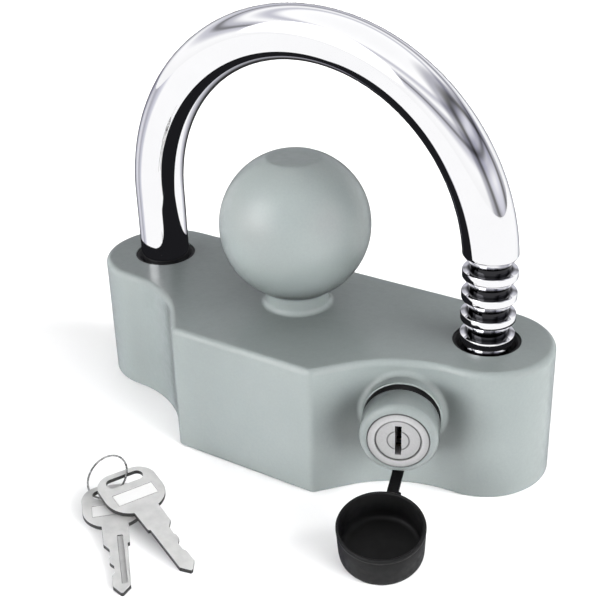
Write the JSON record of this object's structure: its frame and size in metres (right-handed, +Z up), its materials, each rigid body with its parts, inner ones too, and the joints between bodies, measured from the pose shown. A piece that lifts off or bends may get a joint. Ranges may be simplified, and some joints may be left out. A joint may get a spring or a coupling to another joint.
{
  "type": "trailer coupler lock",
  "caption": "Cast coupler lock whose ball fills a trailer coupler's socket while a ratcheted shackle closes over it, with a key cylinder, rubber dust cap and keys.",
  "frame": {"origin": "on the base plane, midway between the axes of the two shackle legs", "axes": "+X from the plain leg to the ratchet leg, -Y out of the flat front face, +Z up along the legs"},
  "size_m": [0.159, 0.1253, 0.1328],
  "materials": {
    "casting_paint": "satin grey-green paint on a cast surface",
    "collar_paint": "satin grey paint",
    "shackle_chrome": "polished plating",
    "bezel_chrome": "bright turned face",
    "plug_face": "fine bead-blasted bright face",
    "key_metal": "stamped nickel-plated blanks, light brushing",
    "ring_wire": "drawn wire",
    "black_rubber": "matt moulded rubber",
    "steel_small": "zinc-plated steel",
    "wafer_brass": "stamped sheet",
    "cover_plate": "satin paint on sheet"
  },
  "bodies": {
    "lock": {"lock_body": "casting_paint", "left_seal": "black_rubber", "right_seal": "black_rubber", "lock_sleeve": "collar_paint", "sleeve_screw": "steel_small", "cylinder_shell": "bezel_chrome", "pawl_spring": "steel_small", "bottom_cover": "cover_plate", "cover_screws": "steel_small", "tether_ring": "black_rubber"},
    "shackle_bow": {"shackle": "shackle_chrome"},
    "plug": {"lock_plug": "plug_face", "plug_clip": "steel_small", "cam": "steel_small", "cam_screw": "steel_small", "wafer_springs": "steel_small"},
    "wafers": {"wafer_1": "wafer_brass", "wafer_2": "wafer_brass", "wafer_3": "wafer_brass", "wafer_4": "wafer_brass", "wafer_5": "wafer_brass"},
    "pawl_slider": {"pawl": "steel_small"},
    "strap_link": {"cap_link": "black_rubber"},
    "cap": {"dust_cap": "black_rubber"},
    "ring": {"key_ring": "ring_wire"},
    "key_a": {"key_1": "key_metal"},
    "key_b": {"key_2": "key_metal"}
  },
  "joints": [
    {"name": "shackle_slide", "type": "slide", "parent": "lock", "child": "shackle_bow", "axis": [0, 0, 1], "range_m": [-0.0204, 0.06]},
    {"name": "plug_turn", "type": "hinge", "parent": "lock", "child": "plug", "pos_m": [0.05155, -0.03865, 0.0265], "axis": [0.3987, -0.9171, 0], "range_deg": [0, 90]},
    {"name": "pawl_slide", "type": "slide", "parent": "lock", "child": "pawl_slider", "axis": [0.9171, 0.3987, 0], "range_m": [0, 0.00637]},
    {"name": "wafer_slide", "type": "slide", "parent": "plug", "child": "wafers", "axis": [0, 0, 1], "range_m": [0, 0.0007]},
    {"name": "cap_swing", "type": "hinge", "parent": "lock", "child": "strap_link", "pos_m": [0.05235, -0.04443, 0.0121], "axis": [-0.94, -0.3292, 0.0895], "range_deg": [0, 102]},
    {"name": "cap_push", "type": "slide", "parent": "strap_link", "child": "cap", "axis": [0.0809, -0.186, 0.9792], "range_m": [0, 0.0095]},
    {"name": "ring_lift", "type": "slide", "parent": "lock", "child": "ring", "axis": [0, 0, 1], "range_m": [0, 0.08]},
    {"name": "key_a_swing", "type": "hinge", "parent": "ring", "child": "key_a", "pos_m": [-0.02173, -0.07281, 0], "axis": [0, 0, 1], "range_deg": [-3, 3]},
    {"name": "key_b_swing", "type": "hinge", "parent": "ring", "child": "key_b", "pos_m": [-0.02173, -0.07281, 0], "axis": [0, 0, 1], "range_deg": [-3, 3]}
  ],
  "couplings": [
    {"joint": "pawl_slide", "follows": "plug_turn", "m_per_rad": 0.0040514}
  ]
}
